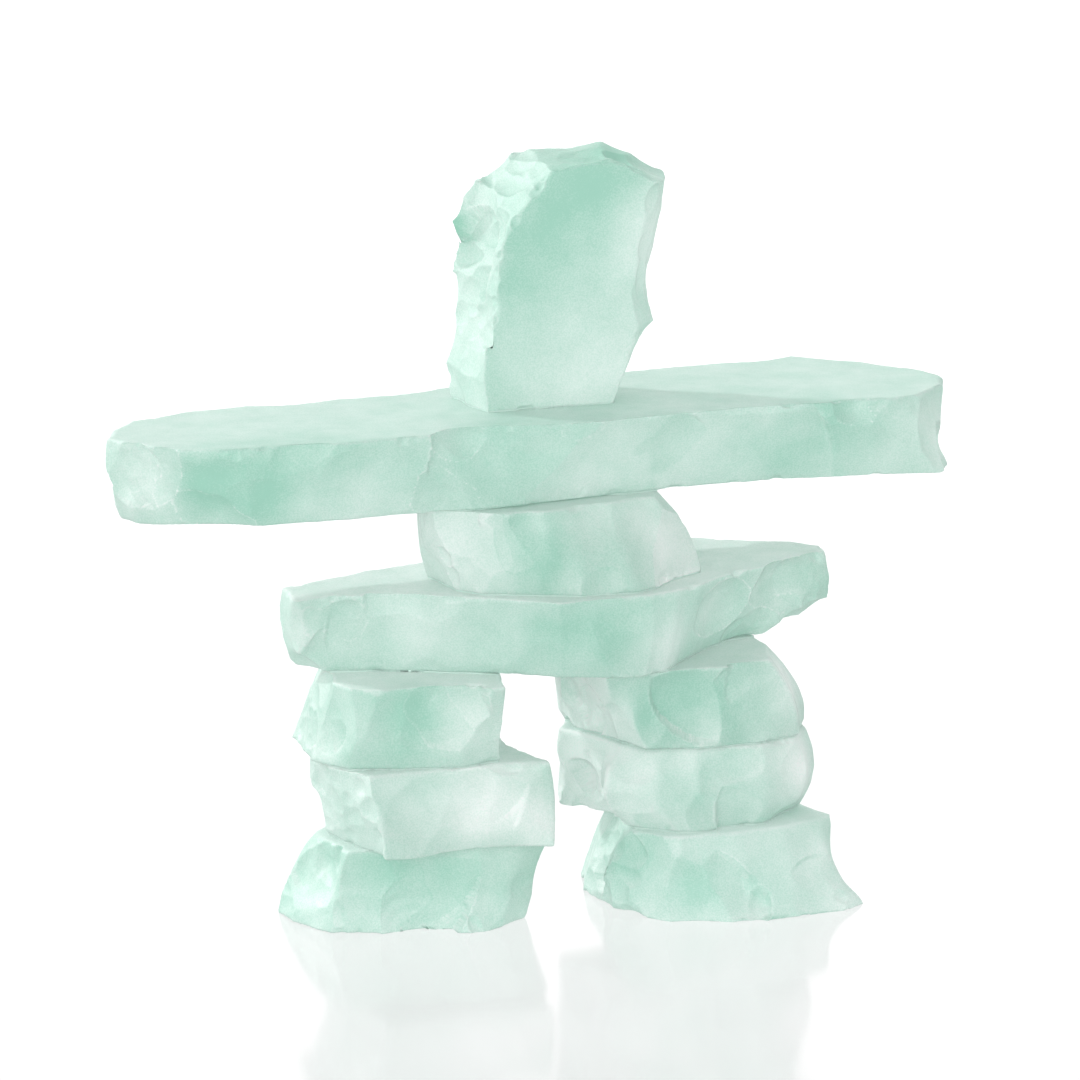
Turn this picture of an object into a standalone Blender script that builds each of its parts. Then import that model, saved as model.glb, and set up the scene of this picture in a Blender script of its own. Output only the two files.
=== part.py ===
"""An inukshuk of frosted glass: a standing figure with two legs, hips, a chest, outstretched arms and a head.

Ten blocks are broken from one thickness of sea-green plate glass and bonded one upon another.
Nine lie flat in six courses, and the tenth, the head, stands on its edge.
X runs along the arms, the front looks along -Y, and Z is up from the surface that the feet stand on.
The blocks are drawn about the middle of the hips, in millimetres, and then moved so that the origin
is under the middle of the whole figure. Meshes are in metres.
"""

from math import ceil, log2, radians

import bpy
import bmesh
from mathutils import Vector

# Driving sizes
PLATE = 18.7              # thickness of the glass plate
BOND = 0.3                # film of clear adhesive between two blocks
COURSE = PLATE + BOND     # height of one course of the stack
FACET_STEPS = 3           # parts that the outline between two ridges is drawn in
HEIGHT_STEPS = 4          # parts that a broken side is drawn in, from one plate face to the other
SCAR_FACETS = 2.9         # facets across a flake scar, or a few more
SLIVER = 0.05             # narrower than this is no facet
FLAT = radians(2.5)       # facets that meet flatter than this are one
HOLLOW = 0.035            # how far a broken facet sinks between its ridges, as a share of its width
MIDDLE = 1.7              # the arms reach this much further to the right of the hips than to the left
MM = 0.001

GLASS_COLOUR = (0.56, 0.78, 0.69, 1.0)
GLASS_ROUGHNESS = 0.55
GLASS_IOR = 1.5


def clear_scene():
    for thing in list(bpy.data.objects):
        bpy.data.objects.remove(thing, do_unlink=True)


def frosted_glass(name):
    """Etched sea-green glass: rough, not metallic, and letting light through."""
    material = bpy.data.materials.new(name)
    material.use_nodes = True
    shader = material.node_tree.nodes["Principled BSDF"]
    shader.inputs["Base Color"].default_value = GLASS_COLOUR
    shader.inputs["Roughness"].default_value = GLASS_ROUGHNESS
    shader.inputs["Metallic"].default_value = 0.0
    shader.inputs["IOR"].default_value = GLASS_IOR
    shader.inputs["Transmission Weight"].default_value = 0.4
    return material


# A ridge is (first u, first v, last u, last v, swell): the crest between two broken facets.
# It starts on one plate face, ends on the other, and stands out by swell halfway between them.
# The ridges of a block go round it counter-clockwise, seen from its last face.

def outward(points, index):
    """The unit normal that points out of a counter-clockwise outline at one of its corners."""
    before = points[index - 1]
    after = points[(index + 1) % len(points)]
    along = (after - before).normalized()
    return Vector((along.y, -along.x))


def outline(ridges, share, ground):
    """The outline of a block at a share of the way from its first plate face to its last.

    Each facet is a little hollow, apart from the one whose number is ground, which is flat.
    """
    corners = []
    for first_u, first_v, last_u, last_v, _ in ridges:
        corners.append(Vector((first_u, first_v)).lerp(Vector((last_u, last_v)), share))
    bulge = 4.0 * share * (1.0 - share)
    swollen = []
    for index, ridge in enumerate(ridges):
        swollen.append(corners[index] + outward(corners, index) * ridge[4] * bulge)
    points = []
    for index, corner in enumerate(swollen):
        following = swollen[(index + 1) % len(swollen)]
        run = following - corner
        inward = Vector((-run.y, run.x)) * (0.0 if index == ground else HOLLOW)
        for step in range(FACET_STEPS):
            part = step / FACET_STEPS
            points.append(corner + run * part + inward * 4.0 * part * (1.0 - part))
    return points


def broken_block(name, ridges, place, ground=None):
    """A closed block: place(u, v, share) turns a point of the outline into one of the figure."""
    mesh = bmesh.new()
    rings = []
    for level in range(HEIGHT_STEPS + 1):
        share = level / HEIGHT_STEPS
        ring = []
        for point in outline(ridges, share, ground):
            ring.append(mesh.verts.new(place(point.x, point.y, share) * MM))
        rings.append(ring)
    count = len(rings[0])
    for lower, upper in zip(rings, rings[1:]):
        for index in range(count):
            after = (index + 1) % count
            mesh.faces.new((lower[index], lower[after], upper[after], upper[index]))
    mesh.faces.new(list(reversed(rings[0])))
    mesh.faces.new(rings[-1])
    bmesh.ops.recalc_face_normals(mesh, faces=mesh.faces)
    bmesh.ops.triangulate(mesh, faces=mesh.faces)
    return finished(name, mesh)


def finished(name, mesh):
    data = bpy.data.meshes.new(name)
    mesh.to_mesh(data)
    mesh.free()
    block = bpy.data.objects.new(name, data)
    bpy.context.scene.collection.objects.link(block)
    return block


def flat_block(name, course, ridges):
    """A block that lies flat in its course: its ridges run from the lower face to the upper."""
    floor = course * COURSE

    def place(u, v, share):
        return Vector((u, v, floor + share * PLATE))

    return broken_block(name, ridges, place)


def standing_block(name, floor, front, ridges):
    """A block that stands on its first facet: its ridges run from the back face to the front."""

    def place(u, v, share):
        return Vector((u, front + (1.0 - share) * PLATE, floor + v))

    return broken_block(name, ridges, place, ground=0)


def ball(name, centre, radius, width):
    """A ball with facets fine enough for a scar of this width."""
    mesh = bmesh.new()
    fineness = 1 + ceil(log2(radius * SCAR_FACETS / width))
    bmesh.ops.create_icosphere(mesh, subdivisions=fineness, radius=radius * MM)
    bmesh.ops.translate(mesh, verts=mesh.verts, vec=centre * MM)
    cutter = finished(name, mesh)
    cutter.hide_render = True
    cutter.display_type = "WIRE"
    return cutter


def strike_flakes(block, flakes):
    """Cuts the shell-shaped scars that flakes leave in a block's sides.

    A flake is (point on the side, way that the side faces there, width, depth), and its scar is
    a shallow bowl of that width and depth.
    """
    for point, facing, width, depth in flakes:
        radius = (width * width / 4.0 + depth * depth) / (2.0 * depth)
        centre = Vector(point) + Vector(facing).normalized() * (radius - depth)
        cutter = ball(block.name + "_cutter", centre, radius, width)
        cut = block.modifiers.new("flake", "BOOLEAN")
        cut.operation = "DIFFERENCE"
        cut.solver = "EXACT"
        cut.object = cutter
        bpy.context.view_layer.update()
        scene_state = bpy.context.evaluated_depsgraph_get()
        struck = bpy.data.meshes.new_from_object(block.evaluated_get(scene_state))
        block.modifiers.remove(cut)
        block.data = struck
        bpy.data.objects.remove(cutter, do_unlink=True)
    clean(block)
    return block


def clean(block):
    """Joins the slivers that the cuts leave to the facets that they lie in."""
    mesh = bmesh.new()
    mesh.from_mesh(block.data)
    bmesh.ops.remove_doubles(mesh, verts=mesh.verts, dist=SLIVER * MM)
    bmesh.ops.dissolve_degenerate(mesh, edges=mesh.edges, dist=SLIVER * MM)
    bmesh.ops.dissolve_limit(mesh, angle_limit=FLAT, verts=mesh.verts, edges=mesh.edges)
    bmesh.ops.triangulate(mesh, faces=mesh.faces)
    bmesh.ops.recalc_face_normals(mesh, faces=mesh.faces)
    mesh.to_mesh(block.data)
    mesh.free()


def left_foot():
    ridges = (
        (-53.0, -12.5, -49.0, -12.5, 1.0),
        (-43.5, -15.5, -42.0, -14.0, 0.0),
        (-41.0, -19.5, -38.0, -15.0, 0.0),
        (-33.0, -22.5, -30.0, -16.0, 0.5),
        (-23.5, -25.5, -20.0, -18.0, 0.5),
        (-16.5, -21.5, -10.0, -18.0, 0.0),
        (-8.5, -16.0, -3.0, -14.0, -0.5),
        (-7.0, -2.0, -2.0, 0.0, 0.0),
        (-9.0, 13.0, -6.0, 12.0, 0.0),
        (-26.0, 18.0, -25.0, 17.0, 0.5),
        (-52.0, 16.0, -44.0, 14.0, 0.5),
        (-60.0, 7.5, -50.0, 6.0, 1.5),
        (-58.0, -1.0, -50.5, -2.0, 1.0),
        (-55.5, -8.5, -50.5, -8.0, 0.5),
    )
    flakes = (
        ((-54.0, 1.0, 12.0), (-0.9, -0.3, 0.35), 18.0, 1.2),
        ((-38.0, -18.0, 9.0), (0.0, -1.0, 0.2), 20.0, 1.4),
        ((-21.0, -21.5, 8.0), (0.15, -1.0, 0.25), 18.0, 1.2),
        ((-5.5, -12.0, 7.0), (1.0, -0.4, 0.1), 12.0, 1.6),
        ((-25.0, 17.5, 9.0), (0.0, 1.0, 0.0), 24.0, 1.4),
        ((-54.0, 14.0, 10.0), (-0.7, 0.7, 0.25), 16.0, 1.6),
    )
    return strike_flakes(flat_block("left_foot", 0, ridges), flakes)


def left_shin():
    ridges = (
        (-44.5, -24.5, -48.5, -20.0, 0.5),
        (-36.5, -25.0, -38.0, -19.0, 0.5),
        (-30.0, -22.0, -25.0, -21.0, 0.5),
        (-20.0, -21.5, -15.0, -20.0, 1.5),
        (-13.0, -23.0, -8.0, -20.0, 2.0),
        (-5.0, -26.0, -4.5, -22.0, 1.5),
        (-2.5, -12.0, -3.0, -10.0, 1.5),
        (-5.0, 4.0, -5.0, 4.0, 0.0),
        (-12.0, 15.0, -13.0, 15.0, 0.0),
        (-30.0, 16.0, -32.0, 17.0, 0.5),
        (-44.0, 13.0, -48.0, 13.0, 1.5),
        (-48.5, 2.0, -53.0, 2.0, 1.5),
        (-47.5, -6.0, -54.5, -6.0, 0.5),
        (-45.8, -15.0, -50.0, -13.0, 0.0),
    )
    flakes = (
        ((-51.5, -1.0, 28.0), (-1.0, -0.15, -0.2), 22.0, 1.4),
        ((-46.5, -22.0, 28.0), (-0.7, -0.7, 0.1), 9.0, 1.4),
        ((-31.0, -21.5, 30.0), (0.0, -1.0, 0.2), 22.0, 1.0),
        ((-10.0, -23.5, 30.0), (0.2, -1.0, 0.2), 15.0, 0.9),
        ((-2.0, -3.0, 28.0), (1.0, 0.0, 0.0), 20.0, 1.2),
        ((-30.0, 17.0, 28.0), (0.0, 1.0, 0.1), 24.0, 1.4),
    )
    return strike_flakes(flat_block("left_shin", 1, ridges), flakes)


def left_thigh():
    ridges = (
        (-49.5, -13.5, -43.0, -18.0, 1.5),
        (-38.5, -17.5, -35.0, -18.0, 0.0),
        (-31.0, -19.5, -31.0, -23.0, 0.0),
        (-25.0, -20.5, -25.0, -26.0, 0.0),
        (-15.0, -18.0, -16.0, -24.5, 0.0),
        (-12.5, -10.0, -13.0, -14.0, 0.0),
        (-11.0, 5.0, -12.0, 5.0, 0.0),
        (-15.0, 17.0, -16.0, 17.0, 0.0),
        (-32.0, 20.0, -32.0, 20.0, 0.5),
        (-53.0, 16.5, -45.0, 16.0, 0.0),
        (-54.0, 5.0, -48.0, 4.0, 0.0),
        (-55.0, -4.5, -50.5, -7.0, 0.5),
        (-52.5, -9.0, -49.5, -14.0, 0.5),
    )
    flakes = (
        ((-51.0, 9.0, 48.0), (-1.0, 0.15, 0.35), 17.0, 1.5),
        ((-51.5, -8.0, 47.0), (-0.9, -0.4, 0.15), 17.0, 1.4),
        ((-28.0, -22.5, 48.0), (0.0, -1.0, -0.2), 15.0, 1.0),
        ((-39.5, -18.0, 47.0), (-0.1, -1.0, 0.0), 18.0, 0.9),
        ((-12.5, -4.0, 48.0), (1.0, 0.0, 0.0), 20.0, 1.2),
        ((-32.0, 20.0, 48.0), (0.0, 1.0, 0.0), 24.0, 1.4),
    )
    return strike_flakes(flat_block("left_thigh", 2, ridges), flakes)


def right_foot():
    ridges = (
        (13.0, -16.5, 17.5, -12.0, 7.0),
        (17.0, -22.0, 17.0, -20.0, 3.0),
        (17.5, -30.0, 20.0, -25.0, 0.0),
        (21.0, -36.0, 25.0, -27.0, 0.0),
        (40.0, -37.5, 38.0, -28.0, 0.0),
        (52.0, -36.5, 50.0, -27.0, 0.0),
        (62.0, -36.0, 60.0, -24.0, -1.0),
        (66.5, -31.0, 63.5, -21.0, -2.0),
        (65.0, -12.0, 61.0, -9.0, -1.0),
        (60.0, 8.0, 56.0, 6.0, 0.0),
        (38.0, 16.0, 38.0, 14.0, 0.5),
        (15.0, 11.0, 21.0, 8.0, 0.5),
        (11.0, -1.0, 18.0, -3.0, 1.0),
        (12.0, -9.0, 17.5, -8.0, 1.5),
    )
    flakes = (
        ((28.0, -33.0, 9.0), (0.0, -1.0, 0.45), 22.0, 1.1),
        ((46.0, -33.0, 9.0), (0.0, -1.0, 0.45), 22.0, 1.1),
        ((60.0, -30.0, 12.0), (0.5, -1.0, 0.4), 14.0, 1.1),
        ((65.5, -23.0, 9.0), (1.0, -0.2, 0.3), 15.0, 1.5),
        ((9.5, -9.0, 3.5), (-0.9, -0.4, -0.4), 14.0, 2.0),
        ((64.0, 0.0, 9.0), (1.0, 0.3, 0.2), 20.0, 1.4),
        ((38.0, 15.5, 9.0), (0.0, 1.0, 0.1), 26.0, 1.5),
    )
    return strike_flakes(flat_block("right_foot", 0, ridges), flakes)


def right_shin():
    ridges = (
        (16.5, -16.0, 15.5, -13.5, 7.0),
        (22.0, -23.0, 22.0, -20.0, 3.0),
        (30.0, -26.5, 31.0, -23.0, 1.5),
        (46.5, -24.0, 45.0, -25.0, 2.0),
        (55.0, -18.5, 55.0, -21.0, 3.5),
        (60.0, -12.5, 60.5, -14.0, 2.5),
        (60.0, 0.0, 62.0, 0.0, 2.0),
        (54.0, 13.0, 55.0, 14.0, 1.0),
        (32.0, 17.0, 32.0, 18.0, 0.5),
        (10.0, 13.0, 12.0, 13.0, 0.0),
        (7.5, 5.0, 7.5, 5.0, 1.0),
        (15.0, -3.0, 12.5, -6.0, 1.0),
    )
    flakes = (
        ((7.0, 6.0, 28.5), (-1.0, 0.0, -0.3), 9.0, 1.3),
        ((12.0, -5.0, 23.5), (-0.9, -0.4, -0.3), 10.0, 2.2),
        ((9.0, -18.0, 24.0), (-0.8, -0.6, -0.2), 7.0, 1.1),
        ((34.0, -27.0, 27.0), (0.0, -1.0, -0.1), 26.0, 0.9),
        ((53.0, -23.5, 28.0), (0.5, -1.0, 0.0), 17.0, 0.8),
        ((32.0, 18.0, 28.0), (0.0, 1.0, 0.0), 26.0, 1.4),
    )
    return strike_flakes(flat_block("right_shin", 1, ridges), flakes)


def right_thigh():
    ridges = (
        (15.5, -10.5, 7.5, -25.0, 0.0),
        (18.5, -20.5, 14.0, -24.0, 0.0),
        (30.5, -24.0, 28.0, -24.5, 0.0),
        (44.5, -25.5, 38.0, -25.0, 0.5),
        (56.0, -21.0, 48.5, -22.0, 2.0),
        (61.5, -9.0, 52.5, -8.0, 2.5),
        (62.0, 5.0, 53.5, 3.0, 2.0),
        (53.0, 16.0, 47.0, 13.0, 1.0),
        (30.0, 18.0, 28.0, 16.0, 0.5),
        (9.5, 10.5, 8.0, 12.0, 0.0),
        (9.0, 2.0, 6.0, 2.0, 0.5),
        (12.5, -6.5, 5.5, -12.0, 1.0),
    )
    flakes = (
        ((8.5, 8.0, 38.5), (-0.8, 0.0, -0.7), 9.0, 2.6),
        ((9.5, -3.5, 44.5), (-1.0, -0.25, -0.25), 13.0, 2.0),
        ((5.5, -4.0, 53.0), (-1.0, -0.25, 0.2), 14.0, 1.3),
        ((28.0, -24.5, 51.0), (0.0, -1.0, 0.1), 16.0, 1.0),
        ((20.0, -22.0, 44.0), (-0.2, -1.0, -0.1), 14.0, 0.9),
        ((45.0, -24.5, 46.0), (0.2, -1.0, 0.0), 20.0, 0.9),
        ((60.0, 3.0, 46.0), (1.0, 0.0, 0.35), 18.0, 1.1),
        ((30.0, 17.5, 47.0), (0.0, 1.0, 0.0), 26.0, 1.4),
    )
    return strike_flakes(flat_block("right_thigh", 2, ridges), flakes)


def hips():
    ridges = (
        (-52.5, 3.0, -59.5, -7.0, 3.0),
        (-50.0, 1.0, -52.0, -4.0, 1.0),
        (-34.0, -4.0, -35.0, -8.0, 1.0),
        (-24.0, -9.0, -27.5, -14.0, 0.5),
        (-13.5, -14.0, -17.0, -23.5, 0.0),
        (-3.5, -21.5, -4.5, -28.0, 0.0),
        (6.0, -26.0, 5.0, -29.0, 0.0),
        (14.5, -28.0, 14.5, -28.5, 0.5),
        (22.0, -24.5, 25.0, -25.5, 0.5),
        (25.0, -21.5, 31.0, -22.5, 0.0),
        (32.0, -14.5, 37.5, -19.0, 0.0),
        (39.5, -7.5, 47.5, -17.5, 0.5),
        (53.5, -1.0, 55.0, -9.0, 0.0),
        (63.0, -3.0, 64.5, -6.0, 0.0),
        (73.5, 1.5, 69.5, -2.0, 0.5),
        (74.5, 8.0, 71.0, 4.0, 0.0),
        (69.0, 15.0, 66.5, 10.0, 0.0),
        (46.0, 23.0, 47.0, 21.5, 0.0),
        (20.0, 21.0, 20.0, 23.0, 0.0),
        (-4.0, 22.0, -5.0, 20.0, 0.0),
        (-22.0, 17.0, -21.0, 18.5, 0.0),
        (-34.0, 17.0, -35.5, 16.0, 0.0),
        (-42.0, 14.0, -43.0, 11.5, 0.0),
        (-55.0, 9.0, -57.5, 7.5, 2.0),
    )
    flakes = (
        ((72.0, -4.0, 57.0), (0.0, 0.0, -1.0), 37.0, 8.5),
        ((-58.0, -1.0, 66.0), (-0.8, -0.5, -0.2), 16.0, 1.4),
        ((-53.5, 5.0, 58.0), (-0.6, -0.4, -0.7), 12.0, 1.3),
        ((-44.0, -5.5, 67.0), (-0.1, -1.0, -0.1), 18.0, 1.1),
        ((-26.0, -12.0, 65.0), (-0.4, -1.0, -0.2), 24.0, 1.1),
        ((11.0, -28.5, 66.0), (0.0, -1.0, -0.1), 22.0, 1.1),
        ((38.0, -16.0, 67.0), (0.55, -0.85, -0.15), 22.0, 1.6),
        ((61.0, -5.0, 70.0), (0.3, -0.95, -0.1), 13.0, 1.1),
        ((72.5, 2.0, 70.0), (1.0, -0.4, 0.1), 9.0, 0.9),
        ((0.0, 21.5, 66.0), (0.0, 1.0, 0.1), 34.0, 1.6),
        ((55.0, 19.0, 68.0), (0.4, 0.9, 0.1), 24.0, 1.6),
        ((-43.0, 13.5, 66.0), (-0.25, 1.0, -0.1), 20.0, 1.3),
    )
    return strike_flakes(flat_block("hips", 3, ridges), flakes)


def chest():
    ridges = (
        (-22.5, -9.5, -28.5, -14.0, -1.5),
        (-18.5, -15.0, -19.0, -17.5, 0.0),
        (-12.0, -18.0, -14.0, -22.0, 0.0),
        (-6.0, -21.0, -7.5, -24.0, 0.0),
        (2.5, -25.0, 2.5, -22.0, 0.0),
        (15.5, -25.5, 9.0, -20.5, 0.5),
        (31.5, -23.0, 23.5, -17.0, 0.5),
        (36.0, -16.0, 26.0, -10.0, 2.0),
        (35.0, 2.0, 27.0, 4.0, 2.0),
        (28.0, 17.0, 22.0, 16.0, 1.0),
        (3.0, 21.0, 2.0, 20.0, 0.0),
        (-21.0, 16.0, -21.0, 17.0, 0.0),
        (-24.0, 5.0, -27.0, 4.0, 0.0),
    )
    flakes = (
        ((-24.5, -12.0, 81.0), (-0.7, -0.7, -0.1), 8.0, 1.3),
        ((-13.0, -20.5, 86.0), (-0.2, -1.0, 0.0), 17.0, 1.0),
        ((22.0, -20.5, 86.0), (0.35, -0.95, 0.2), 24.0, 1.3),
        ((-25.0, 4.0, 85.0), (-1.0, 0.0, 0.15), 16.0, 1.3),
        ((0.0, 20.5, 85.0), (0.0, 1.0, 0.0), 26.0, 1.5),
        ((30.0, 10.0, 86.0), (0.9, 0.4, 0.25), 18.0, 1.2),
    )
    return strike_flakes(flat_block("chest", 4, ridges), flakes)


def arms():
    ridges = (
        (-89.0, -4.0, -88.5, -13.0, 1.0),
        (-67.0, -14.0, -77.0, -18.0, 0.5),
        (-51.0, -14.5, -52.5, -19.0, 0.5),
        (-33.0, -13.0, -25.5, -19.0, 0.5),
        (-21.0, -15.0, -15.0, -18.5, 0.5),
        (3.0, -14.0, 2.5, -18.0, 0.5),
        (11.0, -11.0, 17.5, -19.0, 0.5),
        (27.0, -9.5, 30.5, -17.5, 0.0),
        (46.0, -9.5, 43.0, -20.0, 0.5),
        (57.0, -12.5, 56.0, -19.5, 0.5),
        (73.0, -15.0, 68.5, -18.0, 0.0),
        (94.0, -16.0, 86.0, -15.5, -0.5),
        (98.5, -9.0, 97.5, -6.0, -1.5),
        (100.5, 5.0, 103.0, 4.0, -1.0),
        (97.0, 14.0, 98.0, 14.0, 0.0),
        (90.0, 24.0, 90.0, 26.0, 0.0),
        (79.0, 33.0, 77.5, 37.5, 0.5),
        (66.0, 32.0, 67.0, 34.0, 0.0),
        (54.0, 34.0, 54.5, 37.0, 0.5),
        (38.0, 31.0, 40.5, 34.0, 0.0),
        (-8.0, 30.0, -10.0, 33.5, 0.5),
        (-34.0, 26.0, -34.5, 28.0, 0.0),
        (-50.0, 22.0, -50.0, 24.0, 0.0),
        (-62.0, 23.0, -61.0, 27.0, 0.5),
        (-73.0, 20.0, -74.5, 25.0, 0.0),
        (-84.0, 15.0, -88.5, 19.5, 0.0),
        (-93.0, 10.0, -91.0, 12.5, 0.5),
        (-95.5, 4.5, -98.5, 3.5, 1.5),
        (-93.0, -1.5, -95.0, -7.0, 1.5),
    )
    flakes = (
        ((-93.0, -7.0, 105.0), (-0.85, -0.5, 0.1), 15.0, 1.7),
        ((-81.0, -12.0, 99.0), (-0.25, -1.0, -0.35), 26.0, 1.4),
        ((-20.5, -17.5, 109.0), (0.1, -1.0, 0.2), 17.0, 1.1),
        ((-9.0, -15.5, 100.0), (0.0, -1.0, -0.15), 24.0, 1.0),
        ((31.0, -13.0, 103.0), (0.05, -1.0, -0.35), 42.0, 1.8),
        ((67.0, -16.5, 104.0), (0.0, -1.0, -0.1), 32.0, 1.1),
        ((71.0, -17.5, 112.5), (0.1, -0.8, 0.6), 13.0, 1.6),
        ((102.0, 1.0, 113.0), (0.75, -0.15, 0.65), 16.0, 1.8),
        ((101.0, 1.0, 103.0), (1.0, -0.2, 0.0), 14.0, 1.4),
        ((89.0, 28.0, 105.0), (0.6, 0.8, 0.1), 22.0, 1.6),
        ((60.0, 35.5, 104.0), (0.0, 1.0, 0.0), 26.0, 1.5),
        ((15.0, 33.0, 104.0), (0.0, 1.0, -0.2), 40.0, 1.8),
        ((-28.0, 28.0, 106.0), (-0.1, 1.0, 0.1), 26.0, 1.4),
        ((-66.0, 24.0, 104.0), (-0.1, 1.0, -0.2), 24.0, 1.5),
        ((-90.0, 14.0, 103.0), (-0.8, 0.6, -0.1), 15.0, 1.5),
    )
    return strike_flakes(flat_block("arms", 5, ridges), flakes)


def head():
    ridges = (
        (-14.3, 0.0, -12.3, 0.0, 0.0),
        (24.5, 0.0, 18.0, 0.0, 0.0),
        (26.5, 8.0, 20.5, 9.6, 1.5),
        (28.0, 12.0, 22.5, 14.0, 2.0),
        (30.5, 16.5, 24.0, 18.0, 5.0),
        (30.0, 23.0, 24.0, 26.0, 3.0),
        (32.0, 33.0, 25.0, 36.0, 3.5),
        (34.5, 42.0, 26.5, 44.0, 3.5),
        (35.5, 48.5, 28.7, 49.5, 3.0),
        (30.0, 53.0, 22.5, 53.5, 1.0),
        (22.5, 56.5, 15.3, 55.8, 0.0),
        (9.5, 55.3, 10.0, 55.0, 0.0),
        (1.0, 54.5, 4.0, 54.3, 0.0),
        (-5.0, 49.5, -0.2, 48.8, 0.5),
        (-10.0, 46.0, -4.0, 43.0, 0.0),
        (-13.5, 40.0, -5.5, 39.5, 0.0),
        (-12.0, 33.0, -8.0, 34.0, 0.0),
        (-13.2, 26.6, -9.5, 27.0, 0.0),
        (-11.5, 20.5, -10.3, 22.0, 0.0),
        (-10.8, 16.5, -11.3, 17.0, 0.0),
        (-12.8, 11.0, -12.4, 13.0, 0.0),
        (-14.5, 8.0, -12.3, 7.5, 0.5),
    )
    flakes = (
        ((10.0, 9.0, 169.5), (-0.05, -0.1, 1.0), 22.0, 1.0),
        ((27.0, 8.0, 168.0), (0.6, -0.3, 0.8), 15.0, 1.2),
        ((-2.5, 9.0, 164.5), (-0.75, -0.2, 0.65), 14.0, 1.4),
        ((-8.0, 10.0, 157.0), (-0.95, -0.2, 0.3), 14.0, 1.4),
        ((-10.5, 9.0, 147.0), (-1.0, -0.15, 0.0), 14.0, 1.3),
        ((-11.0, 10.0, 136.0), (-1.0, -0.1, 0.0), 14.0, 1.1),
        ((-10.0, 0.5, 138.0), (-0.7, -0.7, 0.0), 6.0, 0.9),
        ((0.5, 0.5, 164.0), (-0.5, -0.7, 0.4), 5.0, 0.8),
        ((29.0, 0.5, 152.0), (0.8, -0.6, -0.1), 18.0, 1.3),
        ((33.5, 11.0, 150.0), (1.0, 0.1, -0.1), 20.0, 1.4),
        ((27.5, 11.0, 122.0), (1.0, 0.1, -0.4), 14.0, 1.2),
    )
    return strike_flakes(standing_block("head", 6 * COURSE, 0.0, ridges), flakes)


def main():
    clear_scene()
    blocks = (
        left_foot(),
        left_shin(),
        left_thigh(),
        right_foot(),
        right_shin(),
        right_thigh(),
        hips(),
        chest(),
        arms(),
        head(),
    )
    for block in blocks:
        block.location.x = -MIDDLE * MM
        block.data.materials.clear()
        block.data.materials.append(frosted_glass(block.name + "_glass"))


main()
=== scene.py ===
"""The looks of an inukshuk figure of frosted glass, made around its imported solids.

Each block's solid is copied with a fine mesh. Its broken sides are relaxed into the soft swells that
glass breaks in, and flakes, ripples and chips are struck from them, while its plate faces stay flat.
Points and sizes are in millimetres in the frame's own axes, until a mesh is written in metres.
"""

from math import cos, pi, radians, sin

import bmesh
import bpy
import numpy as np
from mathutils import Matrix, Vector


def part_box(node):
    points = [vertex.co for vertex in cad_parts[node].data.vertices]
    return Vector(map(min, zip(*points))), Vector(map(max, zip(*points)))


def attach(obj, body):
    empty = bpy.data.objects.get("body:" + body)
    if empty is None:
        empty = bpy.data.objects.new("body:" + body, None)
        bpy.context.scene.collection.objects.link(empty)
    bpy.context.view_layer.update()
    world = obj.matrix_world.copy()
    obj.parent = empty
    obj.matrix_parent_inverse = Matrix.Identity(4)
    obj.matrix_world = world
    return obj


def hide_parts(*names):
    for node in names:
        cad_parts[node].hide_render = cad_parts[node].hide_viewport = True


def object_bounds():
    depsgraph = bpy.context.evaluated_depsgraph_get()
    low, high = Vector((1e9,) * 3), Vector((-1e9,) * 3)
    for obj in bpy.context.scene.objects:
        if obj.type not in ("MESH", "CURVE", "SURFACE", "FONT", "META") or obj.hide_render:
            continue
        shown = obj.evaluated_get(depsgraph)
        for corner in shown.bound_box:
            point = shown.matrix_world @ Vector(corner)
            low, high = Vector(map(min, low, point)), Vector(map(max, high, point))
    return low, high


MM = 0.001
BODY = "root"

# The camera, at the photograph's viewing angle
CAMERA_AZIMUTH = radians(-20.0)
CAMERA_ELEVATION = radians(13.3)
CAMERA_DISTANCE = 1200.0
CAMERA_TARGET = Vector((-7.2, -18.0, 88.0))
VIEW_WIDTH = 240.0               # width that the frame covers at the target
SENSOR = 36.0

# The mesh of a block
CELL_COARSE = 0.9
RIM = 0.35                       # height beside a plate face in which a broken side fades into it

# Smoothing
ALIKE = radians(17.0)            # normals that differ by more than this belong to two facets
RELAX_ROUNDS = 24
RELAX_STEP = 0.6                 # share of the way to its neighbours' mean that a point goes in a round
NORMALS_EVERY = 6                # rounds after which the facets are found anew
RIM_FREEDOM = 0.12               # how far a point on a sharp ridge still follows its neighbours
WEAR_STEP = 0.7                  # the same share where a place is worn

# Names of the directions that a plate's faces look in
UPRIGHT = 2
FRONTWARD = 1

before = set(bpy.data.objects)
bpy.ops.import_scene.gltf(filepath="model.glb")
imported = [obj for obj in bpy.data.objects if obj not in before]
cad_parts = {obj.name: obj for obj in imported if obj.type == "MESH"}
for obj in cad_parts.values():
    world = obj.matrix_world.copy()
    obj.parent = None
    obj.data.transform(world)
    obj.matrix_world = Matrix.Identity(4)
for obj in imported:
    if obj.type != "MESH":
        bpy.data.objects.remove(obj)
cad_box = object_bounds()
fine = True


# A flake's tone is painted light on its scar, and its rim a painted highlight along the scar's edge, a
# painted dark line where it is below 0.
def flake(
    place, width, depth, facing=None, grain=None, stretch=1.0, ripple=0.0, tone=0.0, rim=0.0,
):
    """A scar that the photograph shows, how much paler it is, and how much paler its rim is."""
    return {
        "place": place,
        "width": width,
        "depth": depth,
        "facing": facing,
        "grain": grain,
        "stretch": stretch,
        "ripple": ripple,
        "tone": tone,
        "rim": rim,
    }
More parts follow.
